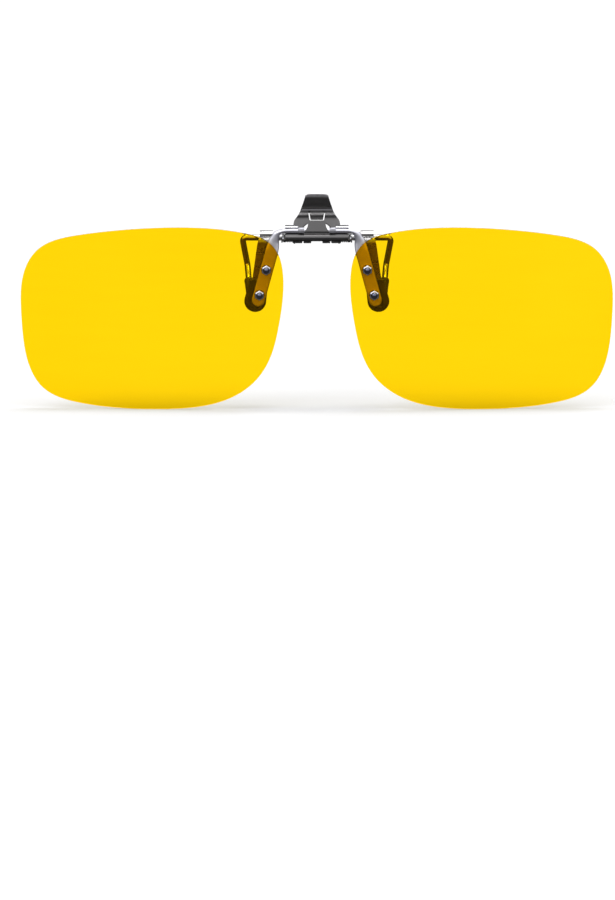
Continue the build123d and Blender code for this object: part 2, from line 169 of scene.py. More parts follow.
def zones(name, axis, stops, r_lo, r_hi, grain=(1, 1, 0.25), patches=(), wobble=0.006):
    """Metal whose colour changes along one axis, used here to paint highlights and shade bands into the colour; stops
    are (drawing millimetres, colour).
    """
    m, nt, b, out = new_mat(name)
    tc = nt.nodes.new("ShaderNodeTexCoord")
    sep = nt.nodes.new("ShaderNodeSeparateXYZ")
    nt.links.new(tc.outputs["Object"], sep.inputs[0])
    lo, hi = stops[0][0], stops[-1][0]
    base = OFF["XYZ".index(axis)]
    mr = nt.nodes.new("ShaderNodeMapRange")
    mr.inputs["From Min"].default_value = base + lo / 1000
    mr.inputs["From Max"].default_value = base + hi / 1000
    nt.links.new(sep.outputs[axis], mr.inputs[0])
    wob = noise(nt, coords(nt), 700.0, 2.0, 0.5)
    add = nt.nodes.new("ShaderNodeMath"); add.operation = "MULTIPLY_ADD"
    nt.links.new(wob, add.inputs[0])
    add.inputs[1].default_value = wobble
    nt.links.new(mr.outputs[0], add.inputs[2])
    col = ramp(nt, add.outputs[0], [((z - lo) / (hi - lo), c) for z, c in stops])
    for tone, tests in patches:
        # another colour, used for painted highlights, wherever every test (axis, use |value|, drawing millimetres,
        # side) is passed
        fac = None
        for ax, absolute, limit, sign in tests:
            v = sep.outputs[ax]
            if absolute:
                a = nt.nodes.new("ShaderNodeMath"); a.operation = "ABSOLUTE"
                nt.links.new(v, a.inputs[0])
                v = a.outputs[0]
            r = nt.nodes.new("ShaderNodeMapRange")
            at = limit / 1000 + (0 if absolute else OFF["XYZ".index(ax)])
            r.inputs["From Min"].default_value = at - 0.00004 * sign
            r.inputs["From Max"].default_value = at + 0.00004 * sign
            nt.links.new(v, r.inputs[0])
            if fac is None:
                fac = r.outputs[0]
            else:
                t = nt.nodes.new("ShaderNodeMath"); t.operation = "MULTIPLY"
                nt.links.new(fac, t.inputs[0]); nt.links.new(r.outputs[0], t.inputs[1])
                fac = t.outputs[0]
        over = nt.nodes.new("ShaderNodeMix"); over.data_type = "RGBA"
        nt.links.new(fac, over.inputs["Factor"])
        nt.links.new(col, over.inputs["A"])
        over.inputs["B"].default_value = (*tone, 1)
        col = over.outputs["Result"]
    fine = noise(nt, coords(nt, grain), 900.0, 4.0, 0.6)
    shade = ramp(nt, fine, [(0.3, (0.93, 0.93, 0.93)), (0.7, (1.0, 1.0, 1.0))])
    mix = nt.nodes.new("ShaderNodeMix"); mix.data_type = "RGBA"; mix.blend_type = "MULTIPLY"
    mix.inputs["Factor"].default_value = 1.0
    nt.links.new(col, mix.inputs["A"])
    nt.links.new(shade, mix.inputs["B"])
    nt.links.new(mix.outputs["Result"], b.inputs["Base Color"])
    b.inputs["Metallic"].default_value = 1.0
    nt.links.new(maprange(nt, fine, r_lo, r_hi), b.inputs["Roughness"])
    nt.links.new(bump(nt, fine, 0.03, 0.00003), b.inputs["Normal"])
    return m


def g(v, blue=0.0):
    return (v, v * 0.98, v * (0.985 + blue))


# Colour bands along Z on the thumb plate: about 0.17 is the plate's own tone; the bright stops paint highlights on the
# ribs, the crease and the rolled lip, and the dark stops paint shade in the bands between them.
thumb_plate_painted_light = zones("thumb_plate_painted_highlights_and_shade", "Z", [
    (-0.5, g(0.17)), (3.9, g(0.17)), (4.15, g(0.15)), (4.35, g(0.110)), (4.55, g(0.036)), (4.82, g(0.064)),
    (5.0, g(0.14)), (5.14, g(0.33)), (5.5, g(0.34)), (5.70, g(0.080)), (5.95, g(0.072)), (6.15, g(0.115, 0.05)),
    (6.45, g(0.135, 0.05)), (6.60, g(0.26, 0.04)), (6.75, g(0.42, 0.03)), (6.92, g(0.36)), (7.15, g(0.23)),
    (7.6, g(0.18)), (9.05, g(0.19)), (9.40, g(0.34)), (9.62, g(0.60)), (9.85, g(0.80)), (10.8, g(0.80))],
    0.26, 0.34)
# Colour bands along Y on the base sheet: the middle (0.26-0.28) is the sheet's own tone; the dark bands at the front (Y
# < 1.3) and the back (Y > 8.6) are painted shade, and the bright patch on the knuckle tops (Y > 8.4, Z > 0.68) is a
# painted highlight.
base_sheet_painted_light = zones("base_sheet_painted_highlight_and_shade", "Y", [
    (-1.0, g(0.10)), (1.3, g(0.10)), (1.6, g(0.26)), (6.2, g(0.28)), (8.2, g(0.26)), (8.6, g(0.075)), (13.0, g(0.075))], 0.24, 0.32,
    (0.4, 1, 1), [(g(0.76), [("Y", False, 8.4, 1), ("Z", False, 0.68, 1)])])
# Flip bracket in its own tone (0.15-0.165) with two painted highlights: a lighter patch on the hook tops outside the
# stem (|X| > 2.78, Z > 1.58), and a bright band across the middle (|X| < 2.95, 1.02 < Z < 1.44) that paints the
# barrel's highlight there.
bracket_painted_light = zones("bracket_painted_highlights", "Z", [
    (-1.0, g(0.15)), (1.0, g(0.165)), (2.0, g(0.16)), (4.6, g(0.165))], 0.28, 0.36,
    (1, 1, 0.4), [((0.33, 0.33, 0.36), [("X", True, 2.78, 1), ("Z", False, 1.58, 1)]),
                   (g(0.52), [("X", True, 2.95, -1), ("Z", False, 1.02, 1), ("Z", False, 1.44, -1)])])
# Cap nuts: the hex and washer face (Y > -3.0) are bright chrome; the dome (Y < -3.06) is coloured dark blue-grey as a
# painted dark reflection.
nut_painted_dark_dome = zones("cap_nut_painted_dome_reflection", "Y", [
    (-3.9, (0.14, 0.15, 0.21)), (-3.06, (0.16, 0.17, 0.24)), (-3.0, (0.62, 0.63, 0.70)), (-2.2, (0.70, 0.70, 0.76))],
    0.08, 0.13, (1, 1, 1))


def rubber_mat():
    m, nt, b, out = new_mat("pad_rubber")
    v = coords(nt)
    grain = noise(nt, v, 5200.0, 3.0, 0.6)
    soft = noise(nt, v, 260.0, 2.0, 0.5)
    nt.links.new(ramp(nt, soft, [(0.3, (0.070, 0.064, 0.062)), (0.7, (0.105, 0.097, 0.094))]), b.inputs["Base Color"])
    nt.links.new(maprange(nt, grain, 0.42, 0.62), b.inputs["Roughness"])
    nt.links.new(bump(nt, grain, 0.25, 0.00004), b.inputs["Normal"])
    return m


def nylon_mat():
    m, nt, b, out = new_mat("spacer_nylon")
    v = coords(nt)
    g = noise(nt, v, 1800.0, 3.0, 0.6)
    nt.links.new(ramp(nt, g, [(0.3, (0.020, 0.020, 0.020)), (0.7, (0.045, 0.045, 0.045))]), b.inputs["Base Color"])
    nt.links.new(maprange(nt, g, 0.35, 0.55), b.inputs["Roughness"])
    nt.links.new(bump(nt, g, 0.15, 0.00003), b.inputs["Normal"])
    return m


def lens_mat():
    m, nt, b, out = new_mat("yellow_lens")
    v = coords(nt)
    n1 = noise(nt, v, 26.0, 2.0, 0.4)
    n2 = noise(nt, v, 900.0, 2.0, 0.5)
    nt.links.new(ramp(nt, n1, [(0.3, (1.0, 0.630, 0.0020)), (0.7, (1.0, 0.650, 0.0032))]), b.inputs["Base Color"])
    b.inputs["Transmission Weight"].default_value = 1.0
    b.inputs["IOR"].default_value = 1.15
    nt.links.new(maprange(nt, n2, 0.0, 0.012), b.inputs["Roughness"])
    clear = nt.nodes.new("ShaderNodeBsdfTransparent")
    clear.inputs[0].default_value = (0.60, 0.56, 0.40, 1)
    lp = nt.nodes.new("ShaderNodeLightPath")
    either = nt.nodes.new("ShaderNodeMath"); either.operation = "MAXIMUM"
    nt.links.new(lp.outputs["Is Shadow Ray"], either.inputs[0])
    nt.links.new(lp.outputs["Is Diffuse Ray"], either.inputs[1])
    mix = nt.nodes.new("ShaderNodeMixShader")
    nt.links.new(either.outputs[0], mix.inputs[0])
    nt.links.new(b.outputs[0], mix.inputs[1])
    nt.links.new(clear.outputs[0], mix.inputs[2])
    nt.links.new(mix.outputs[0], out.inputs[0])
    return m


rubber = rubber_mat()
nylon = nylon_mat()
lens_yellow = lens_mat()


# ------------------------------------------------------------------ mesh tools
def make(name, verts, faces, mat, body, slot, replaces=(), smooth=True, metres=False):
    me = bpy.data.meshes.new(name)
    me.from_pydata([v if metres else M(v) for v in verts], [], faces)
    me.validate()
    bm = bmesh.new(); bm.from_mesh(me)
    bmesh.ops.recalc_face_normals(bm, faces=bm.faces)
    bm.to_mesh(me); bm.free()
    me.materials.append(mat)
    for p in me.polygons:
        p.use_smooth = smooth
    ob = bpy.data.objects.new(name, me)
    bpy.context.scene.collection.objects.link(ob)
    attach(ob, body)
    if replaces:
        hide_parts(*replaces)
    return ob


def apply_mods(ob):
    dg = bpy.context.evaluated_depsgraph_get()
    me = bpy.data.meshes.new_from_object(ob.evaluated_get(dg))
    ob.modifiers.clear()
    old = ob.data
    ob.data = me
    bpy.data.meshes.remove(old)
    return ob


def bevel(ob, width_mm, segments=3, angle=38):
    b = ob.modifiers.new("bevel", "BEVEL")
    b.width = width_mm / 1000
    b.segments = segments
    b.limit_method = "ANGLE"
    b.angle_limit = math.radians(angle)
    b.harden_normals = False
    b.miter_outer = "MITER_ARC"
    return b


def auto_smooth(me, angle=38):
    me.set_sharp_from_angle(angle=math.radians(angle))


def spline_closed(pts, n):
    """Periodic cubic spline through 2-D points, n samples evenly spaced along it."""
    P = np.array(pts, float)
    k = len(P)
    d = np.hypot(*(np.roll(P, -1, 0) - P).T)
    t = np.r_[0, np.cumsum(d)]
    h = d
    A = np.zeros((k, k)); R = np.zeros((k, 2))
    for i in range(k):
        hm, hp = h[i - 1], h[i]
        A[i, i - 1] += hm; A[i, i] += 2 * (hm + hp); A[i, (i + 1) % k] += hp
        R[i] = 6 * ((P[(i + 1) % k] - P[i]) / hp - (P[i] - P[i - 1]) / hm)
    m = np.linalg.solve(A, R)
    out = []
    dense = []
    for i in range(k):
        j = (i + 1) % k
        for s in np.linspace(0, 1, 40, endpoint=False):
            x = s * h[i]; a = h[i] - x
            dense.append(m[i] * a ** 3 / (6 * h[i]) + m[j] * x ** 3 / (6 * h[i])
                         + (P[i] / h[i] - m[i] * h[i] / 6) * a + (P[j] / h[i] - m[j] * h[i] / 6) * x)
    D = np.array(dense + [dense[0]])
    L = np.r_[0, np.cumsum(np.hypot(*np.diff(D, axis=0).T))]
    for s in np.linspace(0, L[-1], n, endpoint=False):
        out.append((float(np.interp(s, L, D[:, 0])), float(np.interp(s, L, D[:, 1]))))
    return out


def catmull(rows, n):
    """Smooth interpolation of rows of numbers; the first two columns set the spacing."""
    R = np.array(rows, float)
    d = np.r_[0, np.cumsum(np.maximum(np.hypot(*np.diff(R[:, :2], axis=0).T), 1e-6))]
    k = len(R)
    T = np.zeros_like(R)
    for i in range(k):
        a, b = max(i - 1, 0), min(i + 1, k - 1)
        T[i] = (R[b] - R[a]) / (d[b] - d[a])
    out = []
    for s in np.linspace(0, d[-1], n):
        i = min(int(np.searchsorted(d, s, side="right")) - 1, k - 2)
        h = d[i + 1] - d[i]; u = (s - d[i]) / h
        out.append((2 * u ** 3 - 3 * u ** 2 + 1) * R[i] + (u ** 3 - 2 * u ** 2 + u) * h * T[i]
                   + (-2 * u ** 3 + 3 * u ** 2) * R[i + 1] + (u ** 3 - u ** 2) * h * T[i + 1])
    return np.array(out)


def rrect(a, b, r, k=6):
    """Rounded rectangle, half sizes a and b, corner radius r."""
    r = min(r, a, b)
    pts = []
    for sx, sy, st in ((1, 1, 0), (-1, 1, 90), (-1, -1, 180), (1, -1, 270)):
        for i in range(k):
            t = math.radians(st + 90 * (i + 0.5) / k)
            pts.append((sx * (a - r) + r * math.cos(t), sy * (b - r) + r * math.sin(t)))
        if st in (0, 180):      # the long sides get points of their own
            x0 = sx * (a - r) + r * math.cos(t)
            pts += [(x0 - sx * 2 * abs(x0) * j / 8, sy * b) for j in range(1, 8)]
    return pts


def loft(rings, cap=True):
    """Quads between rings of equal length; ends closed by fans."""
    n = len(rings[0])
    verts = [p for ring in rings for p in ring]
    faces = []
    for j in range(len(rings) - 1):
        for i in range(n):
            a = j * n + i; b = j * n + (i + 1) % n
            faces.append((a, b, b + n, a + n))
    if cap:
        for j, ring in ((0, rings[0]), (len(rings) - 1, rings[-1])):
            c = tuple(sum(p[q] for p in ring) / n for q in range(3))
            verts.append(c)
            ci = len(verts) - 1
            for i in range(n):
                faces.append((j * n + i, j * n + (i + 1) % n, ci))
    return verts, faces


def lathe(profile, centre, axis, n=48):
    """profile: (radius, height along axis) from one pole or rim to the other; closes onto itself at radius 0."""
    axis = Vector(axis).normalized()
    side = axis.orthogonal().normalized()
    other = axis.cross(side)
    c = Vector(centre)
    verts, faces, rows = [], [], []
    for r, hgt in profile:
        if r < 1e-6:
            verts.append(tuple(c + axis * hgt)); rows.append([len(verts) - 1] * n)
        else:
            row = []
            for i in range(n):
                t = 2 * math.pi * i / n
                verts.append(tuple(c + axis * hgt + side * r * math.cos(t) + other * r * math.sin(t)))
                row.append(len(verts) - 1)
            rows.append(row)
    for a, b in zip(rows, rows[1:]):
        for i in range(n):
            q = [a[i], a[(i + 1) % n], b[(i + 1) % n], b[i]]
            q = [v for k, v in enumerate(q) if v not in q[:k]]
            if len(q) > 2:
                faces.append(tuple(q))
    return verts, faces


def merge(groups):
    verts, faces = [], []
    for v, f in groups:
        o = len(verts)
        verts += list(v)
        faces += [tuple(i + o for i in q) for q in f]
    return verts, faces


def mirrored(vf):
    v, f = vf
    return [(-x, y, z) for x, y, z in v], [tuple(reversed(q)) for q in f]


def inset_rings(outline, normals, steps):
    """steps: (inset, y) pairs; returns one ring of (x, y, z) for each."""
    rings = []
    for d, y in steps:
        rings.append([(p[0] - n[0] * d, y(p, n, d) if callable(y) else y, p[1] - n[1] * d)
                      for p, n in zip(outline, normals)])
    return rings


def outward_normals(pts):
    P = np.array(pts)
    t = np.roll(P, -1, 0) - np.roll(P, 1, 0)
    t /= np.maximum(np.hypot(*t.T)[:, None], 1e-12)
    nrm = np.c_[t[:, 1], -t[:, 0]]
    area = 0.5 * np.sum(P[:, 0] * np.roll(P[:, 1], -1) - np.roll(P[:, 0], -1) * P[:, 1])
    return nrm if area > 0 else -nrm


# ------------------------------------------------------------------ lenses
LENS_T, LENS_R, TAN_X, BACK_Y = 1.0, 260.0, 12.5, -1.15
OUTLINE = [
    (34.11, 2.87), (38.54, 2.71), (42.96, 2.43), (47.37, 2.02), (51.78, 1.50),
    (56.17, 0.83), (60.51, -0.16), (64.48, -2.12), (67.22, -5.40), (68.64, -9.50),
    (69.00, -13.89), (68.85, -18.32), (68.50, -22.73), (67.80, -27.09), (66.40, -31.20),
    (63.92, -34.65), (60.11, -36.90), (55.84, -38.04), (51.47, -38.74), (47.07, -39.17),
    (42.65, -39.40), (38.22, -39.46), (33.79, -39.38), (29.37, -39.08), (25.00, -38.38),
    (20.77, -37.08), (16.88, -34.97), (13.62, -32.02), (11.27, -28.35), (9.77, -24.21),
    (8.82, -19.89), (8.12, -15.52), (7.76, -11.11), (8.00, -6.71), (9.30, -2.64),
    (12.35, 0.26), (16.50, 1.55), (20.86, 2.28), (25.26, 2.71), (29.69, 2.88),
]
SCREWS = [(11.75, -6.95), (13.34, -12.80)]


def lens_y(x, r):
    """Y of the cylinder of radius r about the lens' vertical axis."""
    cy = BACK_Y + LENS_R
    return cy - math.sqrt(r * r - (x - TAN_X) ** 2)


def lens_mesh():
    n = 300
    out = spline_closed(OUTLINE, n)
    nrm = outward_normals(out)
    c = (38.3, -18.2)
    b = 0.16
    rings = []

    def ring(scale, inset, depth):
        row = []
        for p, m in zip(out, nrm):
            x, z = p[0] - m[0] * inset, p[1] - m[1] * inset
            x, z = c[0] + (x - c[0]) * scale, c[1] + (z - c[1]) * scale
            y0, y1 = lens_y(x, LENS_R), lens_y(x, LENS_R + LENS_T)
            row.append((x, y0 + (y1 - y0) * depth, z))
        return row
    scales = [0.04, 0.12, 0.22, 0.33, 0.44, 0.55, 0.66, 0.76, 0.85, 0.92, 0.965, 0.99]
    for s in scales:
        rings.append(ring(s, b, 1.0))
    for i in range(5):
        t = math.radians(90 * i / 4)
        rings.append(ring(1.0, b * (1 - math.sin(t)), 1 - b / LENS_T * (1 - math.cos(t))))
    for i in range(5):
        t = math.radians(90 * i / 4)
        rings.append(ring(1.0, b * (1 - math.cos(t)), b / LENS_T * (1 - math.sin(t))))
    for s in scales[::-1]:
        rings.append(ring(s, b, 0.0))
    v, f = loft(rings)
    # put the two end fans' centres on the curved faces
    v[-2] = (c[0], lens_y(c[0], LENS_R + LENS_T), c[1])
    v[-1] = (c[0], lens_y(c[0], LENS_R), c[1])
    return v, f


def cutter(shapes):
    v, f = merge(shapes)
    me = bpy.data.meshes.new("cutter")
    me.from_pydata([M(p) for p in v], [], f)
    bm = bmesh.new(); bm.from_mesh(me)
    bmesh.ops.recalc_face_normals(bm, faces=bm.faces)
    bm.to_mesh(me); bm.free()
    ob = bpy.data.objects.new("cutter", me)
    bpy.context.scene.collection.objects.link(ob)
    return ob


def boolean(ob, tool, op):
    m = ob.modifiers.new("bool", "BOOLEAN")
    m.operation = op
    m.solver = "EXACT"
    m.object = tool
    bpy.context.view_layer.update()
    apply_mods(ob)
    bpy.data.objects.remove(tool)
    return ob


def drill(x, z, r, y0, y1, n=40):
    return lathe([(0, y0), (r, y0), (r, y1), (0, y1)], (x, 0, z), (0, 1, 0), n)


vf = lens_mesh()
for side, data, sx in (("right", vf, 1), ("left", mirrored(vf), -1)):
    ob = make(f"{side}_lens_tinted", *data, lens_yellow, "lens_unit", "lens", [f"{side}_lens"])
    boolean(ob, cutter([drill(sx * x, z, 0.58, -6, 4) for x, z in SCREWS]), "DIFFERENCE")
    auto_smooth(ob.data, 50)

# ------------------------------------------------------------------ lens bar
ARM_DIR = math.radians(15.5)
AX, AZ, ARM_LEN, ARM_H, ARM_T = 10.47, -2.67, 11.75, 1.525, 0.9


def on_arm(s):
    return (AX + math.sin(ARM_DIR) * s, AZ - math.cos(ARM_DIR) * s)


rows = [  # X, Z, half width, half depth, corner radius
    (0.0, ROD_Z, 0.57, 0.57, 0.57), (3.0, ROD_Z, 0.57, 0.57, 0.57), (6.0, ROD_Z, 0.57, 0.57, 0.57),
    (7.45, 2.06, 0.53, 0.57, 0.53), (8.12, 1.94, 0.52, 0.565, 0.51), (8.82, 1.66, 0.65, 0.55, 0.50),
    (9.40, 1.15, 0.89, 0.52, 0.46), (9.73, 0.42, 1.02, 0.49, 0.38), (10.03, -0.46, 1.29, 0.46, 0.31),
    (10.22, -1.50, 1.44, 0.45, 0.26), (*on_arm(0.0), 1.51, 0.45, 0.22), (*on_arm(2.0), 1.525, 0.45, 0.22),
    (*on_arm(6.0), 1.525, 0.45, 0.22), (*on_arm(9.5), 1.525, 0.45, 0.22), (*on_arm(ARM_LEN), 1.525, 0.45, 0.22)]
half = catmull(rows, 150)
half = [r for r in half]
for a in (12, 24, 36, 46, 55, 63, 70, 76, 81, 85):
    t = math.radians(a)
    x, z = on_arm(ARM_LEN + ARM_H * math.sin(t))
    w = ARM_H * math.cos(t)
    half.append(np.array([x, z, w, 0.45 - 0.20 * max(0, (a - 60) / 30) ** 2, min(0.22, w)]))
half = np.array(half)
dirs = np.gradient(half[:, :2], axis=0)
dirs[0] = (1, 0)
dirs /= np.hypot(*dirs.T)[:, None]
for i in range(-11, 0):
    dirs[i] = (math.sin(ARM_DIR), -math.cos(ARM_DIR))


def bar_ring(row, d, sx):
    x, z, hw, hd, r = row
    nx, nz = -d[1], d[0]          # across the strip, in the XZ plane
    ring = []
    crown = min(1.0, max(0.0, (z + 2.6) / 2.0)) * min(1.0, max(0.0, (x - 7.6) / 1.0))
    for a, b in rrect(hw, hd, r, 7):
        b *= math.sqrt(1 - 0.72 * crown * (a / hw) ** 2) if hw > 0 else 1
        ring.append((sx * (x + nx * a), b, z + nz * a))
    return ring


rings = [bar_ring(half[i], dirs[i], -1) for i in range(len(half) - 1, 0, -1)]
rings += [bar_ring(half[i], dirs[i], 1) for i in range(len(half))]
bar = make("lens_bar_polished", *loft(rings), bar_steel, "lens_unit", "bar_steel", ["lens_bar"])
boolean(bar, cutter([drill(s * x, z, 0.58, -3, 3) for x, z in SCREWS for s in (1, -1)]), "DIFFERENCE")
auto_smooth(bar.data, 40)

# ------------------------------------------------------------------ fasteners
yf = BACK_Y - LENS_T - 0.02
nuts, washers, spacers = [], [], []
for s in (1, -1):
    for x0, z in SCREWS:
        x = s * x0
        # washer
        prof = [(0.60, 0.0), (0.93, 0.0), (0.98, 0.02), (1.00, 0.06), (1.00, 0.18), (0.98, 0.22), (0.93, 0.24),
                (0.60, 0.24), (0.60, 0.0)]
        washers.append(lathe([(r, -h) for r, h in prof], (x, yf, z), (0, 1, 0), 40))
        # spacer
        h1 = -ARM_T / 2 - (BACK_Y + 0.02)
        prof = [(0.58, 0.0), (1.08, 0.0), (1.15, 0.06), (1.15, h1 - 0.06), (1.08, h1), (0.58, h1), (0.58, 0.0)]
        spacers.append(lathe(prof, (x, BACK_Y + 0.02, z), (0, 1, 0), 40))
        # six-sided cap nut with a dome; one corner points up
        y0 = yf - 0.24
        n = 72
        rings = []
        for rr, hh, hexy in ((1.12, 0.0, 1.0), (1.18, 0.03, 1.0), (1.20, 0.08, 1.0), (1.20, 0.34, 1.0), (1.17, 0.42, 1.0),
                             (1.09, 0.51, 0.85), (0.98, 0.57, 0.55), (0.88, 0.60, 0.2), (0.84, 0.62, 0.0)):
            ring = []
            for i in range(n):
                t = 2 * math.pi * i / n
                loc = (t + math.pi / 6) % (math.pi / 3) - math.pi / 6
                # distance to a hexagon whose corners lie at multiples of 60 degrees, softened at the corners
                hexr = math.cos(math.pi / 6) / math.cos(math.pi / 6 - abs(loc))
                hexr = min(hexr, 0.985)
                r = rr * (hexy * hexr + (1 - hexy) * 0.93)
                ring.append((x + r * math.sin(t), y0 - hh, z + r * math.cos(t)))
            rings.append(ring)
        for k in range(0, 10):
            a = math.radians(90 * k / 9.5)
            r, hh = 0.80 * math.cos(a), 0.62 + 0.80 * math.sin(a) * 0.90
            rings.append([(x + r * math.sin(2 * math.pi * i / n), y0 - hh, z + r * math.cos(2 * math.pi * i / n))
                          for i in range(n)])
        nuts.append(loft(rings))
make("lens_washers_plated", *merge(washers), chrome, "lens_unit", "fastener_chrome", ["lens_washers"])
make("lens_spacers_moulded", *merge(spacers), nylon, "lens_unit", "spacer_nylon", ["lens_spacers"])
ob = make("dome_nuts_plated", *merge(nuts), nut_painted_dark_dome, "lens_unit", "fastener_chrome", ["dome_nuts"])
auto_smooth(ob.data, 32)
for nm in ("lens_washers_plated", "lens_spacers_moulded"):
    auto_smooth(bpy.data.objects[nm].data, 35)


# ------------------------------------------------------------------ wires
def rounded(points, radii, step=10):
    """A polyline with its inner corners turned into arcs; returns points (mm)."""
    P = [Vector(p) for p in points]
    out = [P[0]]
    for i in range(1, len(P) - 1):
        a = (P[i - 1] - P[i]).normalized(); b = (P[i + 1] - P[i]).normalized()
        half_ang = a.angle(b) / 2
        d = radii[i - 1] / math.tan(half_ang)
        d = min(d, 0.45 * (P[i - 1] - P[i]).length, 0.45 * (P[i + 1] - P[i]).length)
        r = d * math.tan(half_ang)
        c = P[i] + (a + b).normalized() * (r / math.sin(half_ang))
        p0, p1 = P[i] + a * d, P[i] + b * d
        u, w = (p0 - c), (p1 - c)
        ang = u.angle(w)
        for k in range(step + 1):
            t = k / step
            q = (u * math.sin((1 - t) * ang) + w * math.sin(t * ang)) / math.sin(ang)
            out.append(c + q)
    out.append(P[-1])
    # fill the straight runs
    full = [out[0]]
    for p, q in zip(out, out[1:]):
        L = (q - p).length
        k = max(1, int(L / 0.8))
        for j in range(1, k + 1):
            full.append(p.lerp(q, j / k))
    return full


def tube(points, radius, n=20, closed_caps=True):
    P = [Vector(p) for p in points]
    rings = []
    t0 = (P[1] - P[0]).normalized()
    u = t0.orthogonal().normalized()
    prev = t0
    for i, p in enumerate(P):
        t = (P[min(i + 1, len(P) - 1)] - P[max(i - 1, 0)]).normalized()
        q = prev.rotation_difference(t)
        u = q @ u
        u = (u - t * u.dot(t)).normalized()
        w = t.cross(u)
        r = radius(i, p) if callable(radius) else radius
        rings.append([tuple(p + u * r * math.cos(2 * math.pi * k / n) + w * r * math.sin(2 * math.pi * k / n))
                      for k in range(n)])
        prev = t
    return loft(rings, closed_caps)


CORNER_X = 17.40
KNEE, PAD_TOP, PAD_END = (16.18, 12.5, -6.85), (15.88, 8.5, -9.80), (15.02, 5.66, -15.5)
rt = [(CORNER_X, BAR_Y, BAR_Z), KNEE, PAD_TOP, PAD_END]
path = [(-x, y, z) for x, y, z in rt[::-1]] + rt
pts = rounded(path, [1.6, 1.2, 0.82, 0.82, 1.2, 1.6], 9)


make("rear_wire_bent", *tube(pts, 0.70, 24), wire_steel, "rear_jaw", "wire_steel", ["rear_wire"])

# rear pads: round sleeves with a rolled mouth and a domed end
v0, v1 = Vector(PAD_TOP), Vector(PAD_END)
u = (v1 - v0).normalized()
start = v0 - u * 0.2
length = (v1 - v0).length + 0.3
prof = [(0.72, 0.06), (0.76, 0.0), (0.84, 0.0), (0.94, 0.10), (1.02, 0.26), (1.07, 0.48), (1.09, 0.75), (1.06, 1.2)]
prof += [(1.06 + 0.04 * min(1, k / 5), 1.2 + (length - 1.2) * k / 8) for k in range(1, 9)]
for k in range(1, 9):
    a = math.radians(90 * k / 8)
    prof.append((1.10 * math.cos(a) if k < 8 else 0.0, length + 1.10 * math.sin(a)))
prof = [(0.0, 0.35), (0.55, 0.35), (0.69, 0.14)] + prof
for side, sx in (("right", 1), ("left", -1)):
    vf = lathe(prof, tuple(start), tuple(u), 40)
    if sx < 0:
        vf = mirrored(vf)
    make(f"{side}_rear_pad_sleeve", *vf, rubber, "rear_jaw", "pad_rubber", [f"{side}_rear_pad"])

# front pads: flat sleeves
LEG_SLOPE, LEG_Y0, SHEET, PLATE_TOP, PAD_T = 0.172, 2.9, 0.8, 0.20, 1.8


def leg_x(z):
    return 11.75 + (PLATE_TOP - z) * LEG_SLOPE


def hull(points):
    pts = sorted(set((round(x, 6), round(y, 6)) for x, y in points))

    def half_hull(ps):
        out = []
        for p in ps:
            while len(out) >= 2 and ((out[-1][0] - out[-2][0]) * (p[1] - out[-2][1])
                                     - (out[-1][1] - out[-2][1]) * (p[0] - out[-2][0])) <= 0:
                out.pop()
            out.append(p)
        return out[:-1]
    return half_hull(pts) + half_hull(pts[::-1])


def resample(poly, n):
    P = np.array(poly + [poly[0]])
    L = np.r_[0, np.cumsum(np.hypot(*np.diff(P, axis=0).T))]
    return [(float(np.interp(s, L, P[:, 0])), float(np.interp(s, L, P[:, 1]))) for s in
            np.linspace(0, L[-1], n, endpoint=False)]


zc0, zc1 = -9.3, -14.50
circ = []
for cx, cz, r in ((leg_x(zc1) + 0.06, zc1, 2.55), (leg_x(zc0 - 0.6) - 1.55, zc0 - 0.6, 0.6),
                  (leg_x(zc0 - 0.6) + 1.55, zc0 - 0.6, 0.6)):
    circ += [(cx + r * math.cos(2 * math.pi * k / 96), cz + r * math.sin(2 * math.pi * k / 96)) for k in range(96)]
pad_out = resample(hull(circ), 140)
pad_n = outward_normals(pad_out)
ym, hb, er = LEG_Y0 + SHEET / 2, PAD_T / 2, 0.42
steps = []
for k in range(7):
    a = math.radians(90 * k / 6)
    steps.append((er * (1 - math.sin(a)), ym - hb + er * (1 - math.cos(a))))
for k in range(7):
    a = math.radians(90 * k / 6)
    steps.append((er * (1 - math.cos(a)), ym + hb - er * (1 - math.sin(a))))
rings = inset_rings(pad_out, pad_n, steps)
vf = loft(rings)
for side, sx in (("right", 1), ("left", -1)):
    make(f"{side}_front_pad_sleeve", *(vf if sx > 0 else mirrored(vf)), rubber, "clamp_base", "pad_rubber",
         [f"{side}_front_pad"])


# ------------------------------------------------------------------ stamped thumb plate
def inside(p, poly):
    x, y = p
    c = False
    for (x0, y0), (x1, y1) in zip(poly, poly[1:] + poly[:1]):
        if (y0 > y) != (y1 > y) and x < (x1 - x0) * (y - y0) / (y1 - y0) + x0:
            c = not c
    return c


def dist_poly(p, poly):
    x, y = p
    best = 1e9
    for (x0, y0), (x1, y1) in zip(poly, poly[1:] + poly[:1]):
        dx, dy = x1 - x0, y1 - y0
        t = max(0, min(1, ((x - x0) * dx + (y - y0) * dy) / (dx * dx + dy * dy + 1e-12)))
        best = min(best, math.hypot(x - x0 - t * dx, y - y0 - t * dy))
    return best


def densify(poly, step):
    out = []
    for (x0, y0), (x1, y1) in zip(poly, poly[1:] + poly[:1]):
        k = max(1, int(round(math.hypot(x1 - x0, y1 - y0) / step)))
        out += [(x0 + (x1 - x0) * j / k, y0 + (y1 - y0) * j / k) for j in range(k)]
    return out


